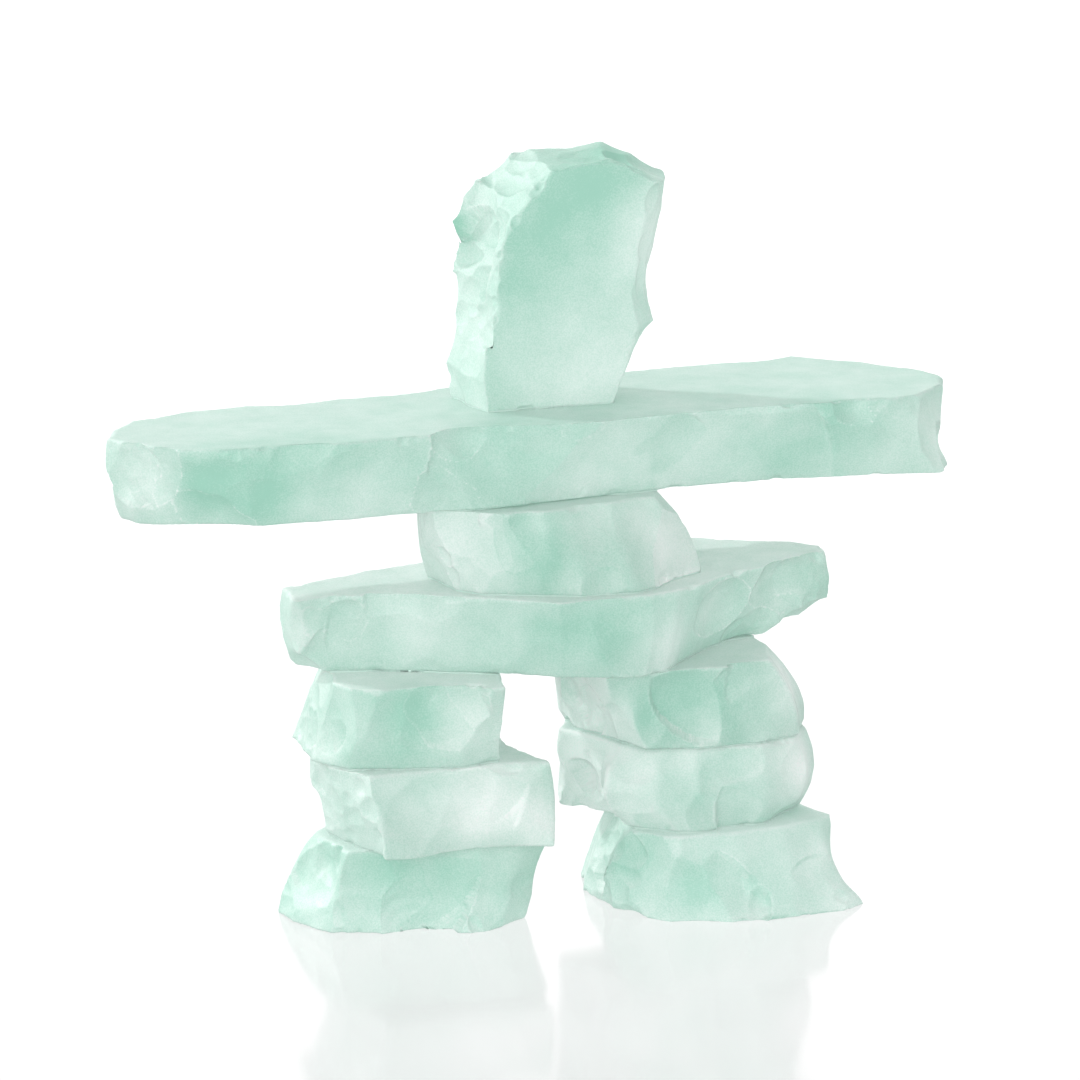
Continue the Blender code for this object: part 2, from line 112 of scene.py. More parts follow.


# What a block is, beside its solid:
#   cell       size of the cells of its mesh
#   triangles  how many triangles its mesh keeps
#   seed       start of its random draws
#   pushes     places where the outline swells, as (place, reach, step)
#   rough      places covered with small scars, as (place, reach, area for each)
#   flakes     scars that the photograph shows
#   worn       rounded places, as (place, reach, rounds of smoothing)
#   top, left  painted light: how much paler it is painted on top and on its left, where the light falls
#   tones      paler and deeper places, mostly painted light and shade, as (place, reach, step)

BLOCKS = {
    "arms": {
        "cell": 0.45,
        "triangles": 190000,
        "seed": 11,
        "pushes": (
            ((-95.0, 12.0, 112.0), 6.0, (-3.0, 1.0, 0.0)),
            ((-92.0, -4.0, 95.0), 5.0, (-1.0, 0.0, 0.0)),
            ((-97.0, -2.0, 103.0), 5.0, (-1.5, 0.0, 0.0)),
            ((101.0, 6.0, 111.0), 9.0, (1.0, 0.0, 0.0)),
            ((100.0, 0.0, 99.0), 7.0, (-1.3, 0.0, 0.0)),
        ),
        "rough": (
            ((-95.0, -3.0, 111.0), 8.0, 9.0),
            ((94.0, 10.0, 104.0), 14.0, 30.0),
        ),
        "flakes": (
            flake((-91.5, -8.5, 104.5), 8.0, 1.0, grain=(0.3, 0.0, 0.95), stretch=1.8, ripple=0.06, rim=0.4),
            flake((-82.5, -11.5, 98.0), 9.0, 0.9, grain=(0.86, 0.0, -0.5), stretch=2.3, rim=0.35),
            flake((-60.0, -16.0, 100.5), 16.0, 0.6, grain=(1.0, 0.0, 0.1), stretch=1.8),
            flake((-77.5, -17.8, 112.6), 4.0, 0.6),
            flake((-75.0, -17.8, 112.9), 2.6, 0.5),
            flake((-80.0, -17.2, 112.9), 2.2, 0.4),
            flake((-39.0, -17.9, 112.6), 3.4, 0.6),
            flake((-36.5, -17.9, 113.0), 2.2, 0.4),
            flake((-48.0, -16.5, 106.0), 15.0, 0.6, grain=(1.0, 0.0, 0.3), stretch=1.5),
            flake((-29.6, -15.1, 100.0), 14.5, 1.5, ripple=0.06, rim=0.35),
            flake((-25.6, -17.0, 110.5), 10.5, 1.3, ripple=0.06, rim=0.35),
            flake((-15.0, -17.0, 106.0), 14.0, 0.8, grain=(1.0, 0.0, 0.1), stretch=1.4),
            flake((-14.3, -16.2, 112.5), 4.0, 0.4),
            flake((2.4, -17.6, 111.5), 6.0, 0.6, grain=(1.0, 0.0, 0.0), stretch=1.7, rim=0.2),
            flake((-10.0, -15.2, 103.0), 15.0, 0.6, grain=(1.0, 0.0, 0.2), stretch=1.4),
            flake((28.6, -8.6, 92.5), 47.0, 1.3, facing=(0.05, -0.95, -0.3), tone=0.1),
            flake((67.0, -15.3, 101.0), 22.0, 0.8, grain=(1.0, 0.0, 0.25), stretch=1.5),
            flake((52.0, -16.5, 112.8), 4.5, 0.5, grain=(1.0, 0.0, 0.0), stretch=5.0),
            flake((70.0, -16.4, 111.3), 9.5, 1.3, ripple=0.06, rim=0.35),
            flake((75.0, -16.2, 112.6), 4.2, 0.6, grain=(0.9, 0.0, 0.3), stretch=1.5, rim=0.35),
            flake((83.0, -15.5, 112.8), 3.2, 0.5, grain=(1.0, 0.0, 0.2), stretch=2.0),
        ),
        "worn": (
            ((99.0, 2.0, 113.0), 6.0, 20),
            ((73.0, -16.0, 104.0), 8.0, 5),
        ),
        "top": 0.1,
        "left": 0.1,
        "tones": (
            ((-93.0, -6.0, 105.0), 7.0, 0.25),
            ((-84.0, -13.0, 105.0), 8.0, -0.3),
            ((-74.0, -16.0, 104.0), 9.0, -0.3),
            ((-62.0, -17.0, 99.0), 8.0, 0.15),
            ((-46.0, -17.0, 98.0), 12.0, 0.15),
            ((-55.0, -18.0, 111.0), 12.0, -0.1),
            ((-35.0, -17.0, 106.0), 5.0, -0.15),
            ((-14.0, -16.0, 106.0), 10.0, -0.15),
            ((6.0, -13.0, 98.0), 7.0, 0.15),
            ((24.0, -12.0, 101.0), 10.0, 0.05),
            ((52.0, -16.0, 99.0), 7.0, -0.25),
            ((62.0, -16.0, 106.0), 12.0, -0.2),
            ((-66.0, -17.0, 104.0), 12.0, -0.1),
            ((80.0, -15.0, 103.0), 10.0, 0.1),
            ((93.0, -12.0, 104.0), 8.0, 0.3),
            ((100.0, -4.0, 104.0), 6.0, 0.3),
        ),
    },
    "hips": {
        "cell": 0.42,
        "triangles": 150000,
        "seed": 23,
        "pushes": (
            ((-48.0, 12.0, 74.0), 8.0, (-1.0, 1.2, 0.0)),
            ((-26.0, 20.0, 74.0), 8.0, (0.0, 1.5, 0.0)),
            ((-58.0, -2.0, 58.0), 4.0, (-1.6, 0.0, 0.0)),
            ((71.0, 2.0, 72.0), 6.0, (1.3, 0.0, 0.0)),
        ),
        "rough": (
            ((69.0, 1.0, 67.0), 8.0, 12.0),
            ((-55.0, 8.0, 66.0), 8.0, 30.0),
        ),
        "flakes": (
            flake((-51.0, -4.3, 75.2), 2.6, 0.6),
            flake((-49.0, -4.5, 75.3), 1.8, 0.4),
            flake((-48.5, -3.8, 69.5), 11.0, 0.9, ripple=0.05, rim=0.2),
            flake((-36.0, -8.5, 65.0), 13.0, 0.6, grain=(1.0, 0.0, 0.3), stretch=1.5),
            flake((-20.0, -15.5, 66.0), 16.0, 0.6, grain=(1.0, 0.0, 0.3), stretch=1.5),
            flake((15.0, -27.6, 54.0), 45.0, 0.7, facing=(0.0, -1.0, 0.0)),
            flake((38.0, -13.5, 68.0), 14.0, 1.4, ripple=0.06, rim=0.4),
            flake((55.5, -5.5, 69.0), 11.0, 1.1, ripple=0.06, rim=0.35),
            flake((59.0, -3.6, 61.5), 5.0, 0.6),
            flake((52.0, -5.0, 59.0), 4.5, 0.6),
            flake((64.5, -2.0, 64.5), 4.0, 0.6),
            flake((45.0, -8.0, 58.5), 6.0, 0.6),
        ),
        "worn": (),
        "top": 0.4,
        "left": 0.1,
        "tones": (
            ((-57.0, -3.0, 68.0), 6.0, 0.1),
            ((-51.0, -4.0, 62.0), 4.0, 0.2),
            ((-33.0, -9.0, 66.0), 9.0, 0.2),
            ((-3.0, -24.0, 68.0), 12.0, -0.2),
            ((7.0, -27.0, 65.0), 5.0, -0.15),
            ((22.0, -26.0, 62.0), 7.0, 0.35),
            ((36.0, -15.0, 67.0), 5.0, 0.15),
            ((50.0, -8.0, 68.0), 5.0, 0.1),
            ((69.0, 0.0, 67.0), 4.0, -0.1),
        ),
    },
    "head": {
        "cell": 0.31,
        "triangles": 180000,
        "seed": 37,
        "pushes": (
            ((-15.0, 17.0, 155.0), 3.5, (-3.0, 0.0, 0.0)),
            ((-13.0, 17.0, 133.0), 9.0, (-1.6, 0.0, 0.0)),
            ((-9.0, 17.0, 162.0), 5.0, (-1.6, 0.0, 1.2)),
            ((3.0, 17.0, 169.0), 4.0, (-1.0, 0.0, 1.0)),
            ((-13.0, 17.0, 146.0), 5.0, (-1.6, 0.0, 0.0)),
            ((-9.0, 0.0, 151.0), 9.0, (-1.0, 0.0, 0.6)),
            ((25.0, 0.0, 127.0), 6.0, (1.8, 0.0, 0.0)),
            ((20.0, 0.0, 120.0), 7.0, (1.6, 0.0, 0.0)),
            ((27.0, 0.0, 160.0), 5.0, (0.9, 0.0, 0.0)),
        ),
        "rough": (
            ((-7.0, 9.0, 158.0), 13.0, 9.0),
            ((-12.0, 9.0, 140.0), 14.0, 9.0),
            ((5.0, 10.0, 169.0), 10.0, 25.0),
            ((27.0, 9.0, 145.0), 20.0, 25.0),
        ),
        "flakes": (
            flake((-0.3, 0.9, 164.2), 2.6, 0.6),
            flake((1.2, 0.9, 165.6), 1.8, 0.4),
            flake((-6.0, 0.5, 156.5), 2.8, 0.6),
            flake((-9.6, 0.8, 149.0), 2.2, 0.5),
            flake((-10.7, 1.6, 145.5), 2.6, 0.6),
            flake((-11.7, 1.5, 139.0), 2.6, 0.6),
            flake((-12.0, 1.6, 136.4), 1.8, 0.5),
            flake((-12.1, 1.8, 134.0), 2.4, 0.5),
            flake((-13.4, 1.6, 128.5), 2.4, 0.5),
            flake((20.0, 6.0, 168.5), 8.0, 0.9, facing=(0.35, -0.1, 0.94)),
            flake((22.0, 1.4, 167.5), 4.0, 0.5),
            flake((26.0, 1.4, 160.0), 6.0, 0.6),
            flake((25.6, 1.6, 149.0), 7.0, 0.6),
            flake((25.0, 2.2, 139.0), 6.0, 0.6),
        ),
        "worn": (),
        "top": 0.0,
        "left": 0.15,
        "tones": (
            ((1.0, 0.0, 157.0), 12.0, -0.25),
            ((13.0, 0.0, 165.0), 9.0, -0.2),
            ((-6.0, 0.0, 142.0), 9.0, -0.15),
            ((8.0, 0.0, 117.0), 13.0, 0.3),
            ((20.0, 0.0, 124.0), 9.0, 0.05),
            ((27.0, 0.0, 154.0), 7.0, 0.1),
            ((28.0, 8.0, 148.0), 12.0, 0.3),
            ((22.0, 6.0, 122.0), 8.0, 0.3),
            ((-15.0, 17.0, 153.0), 3.5, -0.5),
            ((20.0, 9.0, 169.0), 9.0, -0.25),
        ),
    },
    "chest": {
        "cell": 0.42,
        "triangles": 75000,
        "seed": 41,
        "pushes": (
            ((-29.0, 0.0, 89.0), 9.0, (-4.2, 0.0, 0.0)),
            ((35.0, -16.0, 77.0), 5.0, (3.0, -0.6, 0.0)),
            ((-10.0, -23.0, 94.7), 8.0, (0.0, 4.2, 0.0)),
            ((4.0, -22.0, 94.7), 8.0, (0.0, 4.2, 0.0)),
            ((18.0, -19.0, 94.7), 8.0, (0.0, 4.2, 0.0)),
        ),
        "rough": (
            ((-26.0, -6.0, 84.0), 8.0, 9.0),
        ),
        "flakes": (
            flake((-19.3, -16.0, 85.5), 19.0, 0.7, facing=(-0.56, -0.83, 0.0), tone=0.1),
            flake((-24.8, -8.5, 84.5), 5.0, 0.8, rim=0.3),
            flake((-24.0, -9.0, 79.5), 5.0, 0.9, rim=0.3),
            flake((-14.0, -18.5, 86.0), 10.0, 0.5, rim=-0.1),
            flake((26.1, -18.5, 83.0), 24.0, 1.2, ripple=0.03, tone=0.25, rim=0.25),
        ),
        "worn": (),
        "top": 0.3,
        "left": 0.3,
        "tones": (
            ((-26.0, -8.0, 84.0), 6.0, 0.15),
            ((0.0, -23.0, 86.0), 13.0, -0.15),
            ((-11.0, -20.0, 85.0), 9.0, -0.2),
            ((25.0, -19.0, 84.0), 8.0, 0.2),
            ((32.0, -15.0, 80.0), 5.0, 0.15),
        ),
    },
    "left_thigh": {
        "cell": 0.42,
        "triangles": 62000,
        "seed": 53,
        "pushes": (
            ((-54.0, 8.0, 52.0), 8.0, (-2.4, 0.0, 0.0)),
        ),
        "rough": (
            ((-53.0, 4.0, 47.0), 12.0, 12.0),
        ),
        "flakes": (
            flake((-33.5, -19.5, 50.5), 13.0, 0.9, ripple=0.1, rim=0.2),
            flake((-20.5, -22.0, 46.0), 8.0, 0.5),
        ),
        "worn": (),
        "top": 0.4,
        "left": 0.0,
        "tones": (
            ((-38.0, -18.0, 50.0), 9.0, -0.25),
            ((-27.0, -20.0, 50.0), 5.0, 0.15),
            ((-20.0, -22.0, 44.0), 8.0, 0.15),
        ),
    },
    "left_shin": {
        "cell": 0.42,
        "triangles": 62000,
        "seed": 59,
        "pushes": (
            ((-54.0, 2.0, 26.0), 9.0, (-1.6, 0.0, 0.0)),
        ),
        "rough": (
            ((-52.0, -3.0, 29.0), 11.0, 14.0),
        ),
        "flakes": (
            flake((-47.8, -19.0, 30.0), 6.5, 0.9, rim=0.3),
            flake((-49.0, -16.5, 34.5), 4.0, 0.6),
            flake((-46.5, -21.0, 24.0), 4.0, 0.6),
            flake((-8.0, 5.0, 38.5), 22.0, 3.0, facing=(0.3, 0.75, 0.6)),
            flake((-5.5, -11.4, 38.5), 27.0, 4.6, facing=(0.9, 0.4, 0.2)),
            flake((-25.0, -21.5, 30.5), 12.0, 0.5),
            flake((-38.0, -20.4, 29.0), 12.0, 0.4),
        ),
        "worn": (
            ((-46.0, -22.0, 20.0), 4.0, 12),
        ),
        "top": 0.3,
        "left": 0.15,
        "tones": (
            ((-22.0, -22.0, 29.0), 9.0, 0.5),
            ((-10.0, -24.0, 25.0), 6.0, 0.3),
            ((-38.0, -21.0, 29.0), 9.0, 0.08),
        ),
    },
    "left_foot": {
        "cell": 0.42,
        "triangles": 62000,
        "seed": 61,
        "pushes": (
            ((-6.0, -10.0, 12.0), 10.0, (2.3, 0.0, 0.0)),
            ((-52.0, 2.0, 16.0), 6.0, (-1.5, 0.0, 0.0)),
            ((-58.0, 0.0, 3.0), 5.0, (-0.9, 0.0, 0.0)),
        ),
        "rough": (
            ((-56.0, 0.0, 9.0), 11.0, 16.0),
        ),
        "flakes": (
            flake((-53.0, -2.0, 15.0), 4.0, 0.6, grain=(0.4, 0.0, 0.9), stretch=1.8),
            flake((-50.5, -6.5, 15.5), 3.4, 0.6, grain=(0.4, 0.0, 0.9), stretch=2.0),
            flake((-52.0, -11.0, 4.5), 3.0, 0.6, grain=(-0.3, 0.0, 0.9), stretch=2.0),
            flake((-37.6, -17.0, 8.5), 14.0, 0.8, ripple=0.2, rim=-0.1),
            flake((-20.0, -20.5, 6.5), 9.0, 0.5),
            flake((-12.5, -18.0, 9.0), 6.0, 0.6),
        ),
        "worn": (),
        "top": 0.2,
        "left": -0.1,
        "tones": (
            ((-42.0, -15.0, 14.0), 7.0, -0.25),
            ((-29.0, -19.0, 13.0), 8.0, -0.1),
            ((-38.0, -18.0, 1.0), 9.0, -0.1),
            ((-20.0, -22.0, 1.0), 9.0, -0.1),
        ),
    },
    "right_thigh": {
        "cell": 0.42,
        "triangles": 62000,
        "seed": 67,
        "pushes": (
            ((55.0, -12.0, 56.0), 9.0, (0.8, 0.0, 0.0)),
            ((60.0, -12.0, 42.0), 8.0, (1.3, 0.0, 0.0)),
        ),
        "rough": (
            ((9.0, -4.0, 46.0), 10.0, 10.0),
        ),
        "flakes": (
            flake((10.0, -4.5, 41.5), 5.0, 0.9),
            flake((44.0, -24.0, 46.0), 14.0, 0.3),
            flake((52.0, 4.0, 57.0), 8.0, 0.8),
        ),
        "worn": (
            ((56.0, -18.0, 56.0), 5.0, 12),
        ),
        "top": 0.4,
        "left": 0.45,
        "tones": (
            ((28.0, -23.0, 49.0), 13.0, -0.28),
            ((15.0, -22.0, 46.0), 5.0, -0.15),
            ((54.0, -20.0, 48.0), 8.0, 0.35),
            ((8.0, -5.0, 47.0), 8.0, 0.2),
        ),
    },
    "right_shin": {
        "cell": 0.42,
        "triangles": 62000,
        "seed": 71,
        "pushes": (
            ((62.0, -4.0, 31.0), 10.0, (1.6, 0.0, 0.0)),
        ),
        "rough": (
            ((10.0, 1.0, 27.0), 9.0, 12.0),
        ),
        "flakes": (
            flake((10.0, -2.5, 22.5), 5.5, 1.0),
            flake((53.1, -22.0, 31.0), 9.0, 0.4),
        ),
        "worn": (
            ((14.0, -22.0, 36.0), 5.0, 20),
            ((57.0, -20.0, 36.0), 5.0, 16),
            ((57.0, -20.0, 21.0), 5.0, 16),
        ),
        "top": 0.3,
        "left": 0.4,
        "tones": (
            ((53.0, -22.0, 32.0), 7.0, 0.45),
            ((56.0, -18.0, 26.0), 7.0, 0.3),
            ((25.0, -25.0, 28.0), 8.0, -0.05),
            ((9.0, 0.0, 28.0), 8.0, 0.25),
        ),
    },
    "right_foot": {
        "cell": 0.42,
        "triangles": 62000,
        "seed": 73,
        "pushes": (
            ((64.0, -31.0, 1.0), 4.0, (1.6, -1.2, 0.0)),
            ((60.0, -22.0, 16.0), 4.0, (1.0, 0.0, 0.0)),
            ((4.0, -15.0, 3.0), 4.0, (2.2, 0.0, 0.0)),
        ),
        "rough": (
            ((11.0, -9.0, 8.0), 9.0, 12.0),
            ((64.0, -20.0, 8.0), 9.0, 30.0),
        ),
        "flakes": (
            flake((25.0, -30.0, 9.0), 14.0, 1.0, facing=(-0.3, -0.95, 0.0), stretch=1.6),
            flake((16.0, -22.5, 9.0), 17.0, 0.6, grain=(0.4, 0.0, -0.9), stretch=1.4),
            flake((60.0, -33.0, 2.5), 4.0, 0.6),
        ),
        "worn": (
            ((43.0, -31.0, 4.2), 5.0, 40),
        ),
        "top": 0.2,
        "left": 0.05,
        "tones": (
            ((14.0, -18.0, 11.0), 10.0, -0.25),
            ((26.0, -30.0, 6.0), 8.0, -0.2),
            ((45.0, -34.0, 1.0), 12.0, -0.15),
            ((57.0, -28.0, 12.0), 6.0, 0.2),
        ),
    },
}


def read_points(mesh):
    points = np.empty(len(mesh.vertices) * 3, np.float32)
    mesh.vertices.foreach_get("co", points)
    return points.reshape(-1, 3).astype(float) / MM


def write_points(mesh, points):
    mesh.vertices.foreach_set("co", (points * MM).astype(np.float32).ravel())
    mesh.update()


def read_edges(mesh):
    edges = np.empty(len(mesh.edges) * 2, np.int32)
    mesh.edges.foreach_get("vertices", edges)
    return edges.reshape(-1, 2)


def applied(piece):
    """Gives a piece the mesh that its modifiers make, and takes them off."""
    graph = bpy.context.evaluated_depsgraph_get()
    made = bpy.data.meshes.new_from_object(piece.evaluated_get(graph))
    old = piece.data
    piece.modifiers.clear()
    piece.data = made
    bpy.data.meshes.remove(old)


def fine_copy(node, cell):
    """A piece with the outer shape of a node, meshed in cells of one size."""
    piece = bpy.data.objects.new(node + "_glass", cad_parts[node].data.copy())
    bpy.context.scene.collection.objects.link(piece)
    piece.data.materials.clear()
    remesh = piece.modifiers.new("cells", "REMESH")
    remesh.mode = "VOXEL"
    remesh.voxel_size = cell * MM
    remesh.use_smooth_shade = True
    applied(piece)
    return piece


class Shell:
    """The points of a block's mesh, with what is needed to reshape them."""

    def __init__(self, piece, low, high, axis):
        self.mesh = piece.data
        self.points = read_points(self.mesh)
        self.edges = read_edges(self.mesh)
        self.low = np.array(low) / MM
        self.high = np.array(high) / MM
        self.axis = axis
        first, second = self.edges.T
        self.cell = np.linalg.norm(self.points[first] - self.points[second], axis=1).mean()
        self.even = np.ones(len(self.edges))
        self.struck = 0
        # painted light and highlights that the flakes leave, added to the tone
        self.tone = np.zeros(len(self.points))

    def from_face(self):
        """How far each point is from the nearer plate face."""
        level = self.points[:, self.axis]
        return np.minimum(level - self.low[self.axis], self.high[self.axis] - level)

    def move(self, steps):
        """Moves points, while those of the plate faces stay in their planes."""
        steps = steps.copy()
        steps[:, self.axis] *= ease(self.from_face() / RIM)
        self.points += steps

    def normals(self):
        write_points(self.mesh, self.points)
        normals = np.empty(len(self.mesh.vertices) * 3, np.float32)
        self.mesh.vertex_normals.foreach_get("vector", normals)
        return normals.reshape(-1, 3).astype(float)

    def mean_of_neighbours(self, values, weights):
        """The weighted mean of each point's neighbours."""
        first, second = self.edges.T
        count = len(self.points)
        weight = np.bincount(first, weights, count) + np.bincount(second, weights, count)
        columns = []
        for column in values.T:
            total = np.bincount(first, weights * column[second], count)
            total += np.bincount(second, weights * column[first], count)
            columns.append(total / np.maximum(weight, 1e-9))
        return np.stack(columns, axis=1)

    def mean_weight(self, weights):
        """The mean of the weights of the edges at each point, 1 at most."""
        first, second = self.edges.T
        count = len(self.points)
        weight = np.bincount(first, weights, count) + np.bincount(second, weights, count)
        edges = np.bincount(first, self.even, count) + np.bincount(second, self.even, count)
        return np.minimum(weight / np.maximum(edges, 1.0), 1.0)

    def relax(self, rounds):
        """Smooths the broken sides, and keeps the ridges between their facets."""
        first, second = self.edges.T
        for turn in range(rounds):
            if turn % NORMALS_EVERY == 0:
                normals = self.normals()
                for _ in range(2):
                    normals = self.mean_of_neighbours(normals, self.even)
                    normals /= np.linalg.norm(normals, axis=1)[:, None] + 1e-9
                alike = (normals[first] * normals[second]).sum(axis=1)
                turned = np.arccos(np.clip(alike, -1.0, 1.0)) / self.cell
                weights = np.exp(-(turned / ALIKE) ** 2) + RIM_FREEDOM
                freedom = RELAX_STEP * self.mean_weight(weights)
            step = self.mean_of_neighbours(self.points, weights) - self.points
            self.move(freedom[:, None] * step)

    def wear(self, place, reach, rounds):
        """Rounds off everything near a place, the plate faces' rims too."""
        away = np.linalg.norm(self.points - np.array(place), axis=1)
        share = ease(1.5 - away / reach)
        for _ in range(rounds):
            step = self.mean_of_neighbours(self.points, self.even) - self.points
            self.points += step * (WEAR_STEP * share)[:, None]

    def strike(
        self, place, width, depth, facing=None, grain=None, stretch=1.0, ripple=0.0, tone=0.0, rim=0.0,
    ):
        """Takes a flake off: points inside a ball are pushed back onto it, against the way it faces.

        The ball may be stretched along its grain. Where no facing is given, the ball is laid on the
        surface as it is around the place.
        """
        centre = np.array(place, float)
        away = np.linalg.norm(self.points - centre, axis=1)
        if facing is None:
            near = away < max(0.5 * width, away.min() + self.cell)
            centre = self.points[near].mean(axis=0)
            facing = self.normals()[near].mean(axis=0)
        facing = np.array(facing, float)
        facing /= np.linalg.norm(facing)
        reached = np.flatnonzero(away < 0.75 * width * stretch + 3.0)
        points = self.points[reached]
        self.struck += 1
        radius = (width * width / 4.0 + depth * depth) / (2.0 * depth)
        offset = points - (centre + facing * (radius - depth))
        offset += facing * (UNEVEN * depth * noise(points, 0.35 * width + 1.0, self.struck))[:, None]
        if grain is not None:
            grain = np.array(grain, float)
            grain -= facing * (grain @ facing)
            grain /= np.linalg.norm(grain)
            offset -= (offset @ grain)[:, None] * grain * (1.0 - 1.0 / stretch)
        outside = radius * radius - (offset * offset).sum(axis=1)
        inside = outside > 0.0
        if not inside.any():
            return
        reached, points = reached[inside], points[inside]
        offset, outside = offset[inside], outside[inside]
        along = offset @ facing
        back = along + np.sqrt(along * along + outside)
        if ripple > 0.0:
            struck_from = np.array(place, float)
            middle = (self.low[self.axis] + self.high[self.axis]) / 2.0
            from_high = place[self.axis] > middle
            struck_from[self.axis] = self.high[self.axis] if from_high else self.low[self.axis]
            far = np.linalg.norm(points - struck_from, axis=1)
            rings = 0.5 - 0.5 * np.cos(far * (2.0 * pi * RINGS / width))
            back = back + rings * ripple * depth * ease(back / (0.3 * depth))
        steps = -back[:, None] * facing
        level = points[:, self.axis]
        step = steps[:, self.axis]
        room = np.where(step > 0.0, self.high[self.axis] - level, level - self.low[self.axis])
        steps[:, self.axis] = np.sign(step) * np.minimum(np.abs(step), 0.5 * room)
        self.points[reached] += steps
        # Painted light on the scar, and a painted highlight along its rim
        self.tone[reached] += tone * ease(back / SCAR_EDGE) + rim * np.exp(-(back / RIM_DEPTH) ** 2)

    def push(self, place, reach, step):
        """Swells the sides near a place."""
        away = np.linalg.norm(self.points - np.array(place), axis=1)
        self.move(np.exp(-(away / reach) ** 2)[:, None] * np.array(step))

    def keep_in(self, low, high):
        """Keeps the points in the whole figure's box, and between the planes of the plate's faces."""
        low = np.array(low) / MM
        high = np.array(high) / MM
        low[self.axis] = self.low[self.axis]
        high[self.axis] = self.high[self.axis]
        low[UPRIGHT] = self.low[UPRIGHT]
        self.points = np.clip(self.points, low, high)

    def broken(self):
        """1 on the broken sides and 0 on the plate's faces."""
        return ease(1.4 - 1.6 * np.abs(self.normals()[:, self.axis]))

    def crests(self):
        """How sharply the surface turns outward at each point, from 0 to 1."""
        normals = self.normals()
        mean = self.mean_of_neighbours(self.points, self.even)
        turn = -((mean - self.points) * normals).sum(axis=1) / self.cell
        turn = self.mean_of_neighbours(turn[:, None], self.even)[:, 0]
        return ease((turn - CREST_FROM) / CREST_RANGE)


def ease(share):
    """A smooth step from 0 to 1."""
    share = np.clip(share, 0.0, 1.0)
    return share * share * (3.0 - 2.0 * share)


RINGS = 4.5                      # ripples across a flake scar
UNEVEN = 0.5                     # height of the waves in a scar, as a share of its depth
SCAR_EDGE = 0.12                 # depth at which a scar has its full painted light
RIM_DEPTH = 0.08                 # depth to which its rim keeps its painted highlight
CREST_FROM = 0.07                # how sharply the surface turns where a crest starts
CREST_RANGE = 0.22               # how much more sharply it turns on a full crest

GRID = 32                        # points along each side of the lattice that the noise is drawn on


def noise(points, size, seed):
    """Smooth noise from -1 to 1 at points, with lumps of about this size."""
    lattice = np.random.RandomState(seed).uniform(-1.0, 1.0, (GRID, GRID, GRID))
    place = points / size
    base = np.floor(place).astype(int)
    part = ease(place - base)
    total = np.zeros(len(points))
    for corner in range(8):
        step = np.array((corner & 1, corner >> 1 & 1, corner >> 2 & 1))
        weight = np.where(step == 1, part, 1.0 - part).prod(axis=1)
        cell = (base + step) % GRID
        total += weight * lattice[cell[:, 0], cell[:, 1], cell[:, 2]]
    return total


FLAKE_SPACING = 200.0            # area of broken side for each small flake, in square millimetres
FLAKE_WIDTHS = (4.0, 9.0)
FLAKE_DEPTHS = (0.03, 0.06)      # as a share of the width
ROUGH_WIDTHS = (1.4, 4.0)        # the same where a side is rough
ROUGH_DEPTHS = (0.035, 0.08)
FLAKE_TILT = 0.12                # how far a flake is tilted away from its side
MOST_STRETCHED = 2.4
FACE_MARGIN = 0.5                # no flake starts this near a plate face
CHIP_SPACING = 6.0               # length of rim for each chip
CHIP_WIDTHS = (0.9, 3.3)         # mostly near the smaller
CHIP_RARITY = 2.5                # the higher, the fewer wide chips
CHIP_DEPTHS = (0.1, 0.2)
CHIP_TILT = 0.15
CHIP_MOST_STRETCHED = 2.5


def flakes_at_random(shell, draw, sides, normals, spacing, widths, depths):
    """Small flakes over some points of the broken sides, one for each spacing of area.

    Each starts from the side as it was before them all, so that together they don't eat it away.
    """
    area = len(sides) * shell.cell ** 2
    before = shell.points.copy()
    for index in draw.choice(sides, int(area / spacing), replace=False):
        width = draw.uniform(*widths)
        depth = width * draw.uniform(*depths)
        facing = normals[index] + draw.normal(0.0, FLAKE_TILT, 3)
        grain = draw.normal(0.0, 1.0, 3)
        stretch = draw.uniform(1.0, MOST_STRETCHED)
        shell.strike(before[index], width, depth, facing, grain, stretch)


def break_sides(shell, rough, draw):
    """Scars all over the sides: a few wide, shallow ones, and many small ones where a side is rough."""
    normals = shell.normals()
    steep = np.abs(normals[:, shell.axis])
    is_side = (shell.from_face() > FACE_MARGIN) & (steep < 0.7)
    sides = np.flatnonzero(is_side)
    flakes_at_random(shell, draw, sides, normals, FLAKE_SPACING, FLAKE_WIDTHS, FLAKE_DEPTHS)
    for place, reach, spacing in rough:
        away = np.linalg.norm(shell.points - np.array(place), axis=1)
        near = np.flatnonzero(is_side & (away < reach))
        if len(near) > 0:
            flakes_at_random(shell, draw, near, normals, spacing, ROUGH_WIDTHS, ROUGH_DEPTHS)


def chip_rims(shell, draw):
    """Small chips along the rims of the plate faces."""
    normals = shell.normals()
    steep = np.abs(normals[:, shell.axis])
    rims = np.flatnonzero((shell.from_face() < 1.2 * shell.cell) & (steep > 0.3) & (steep < 0.9))
    length = len(rims) * shell.cell / 2.0
    if len(rims) == 0:
        return
    least, most = CHIP_WIDTHS
    for index in draw.choice(rims, min(len(rims), int(length / CHIP_SPACING)), replace=False):
        width = least + (most - least) * draw.random_sample() ** CHIP_RARITY
        depth = width * draw.uniform(*CHIP_DEPTHS)
        facing = normals[index] + draw.normal(0.0, CHIP_TILT, 3)
        grain = np.cross(facing, draw.normal(0.0, 1.0, 3))
        stretch = draw.uniform(1.0, CHIP_MOST_STRETCHED)
        shell.strike(shell.points[index].copy(), width, depth, facing, grain, stretch)


# The uneven surface of a broken side, from slow swells to fine hackle: the size and height of each
SWELLS = ((8.0, 0.16), (3.1, 0.06), (1.1, 0.02))
KEPT_FULL = 0.1                  # what smoothing takes off a side, given back


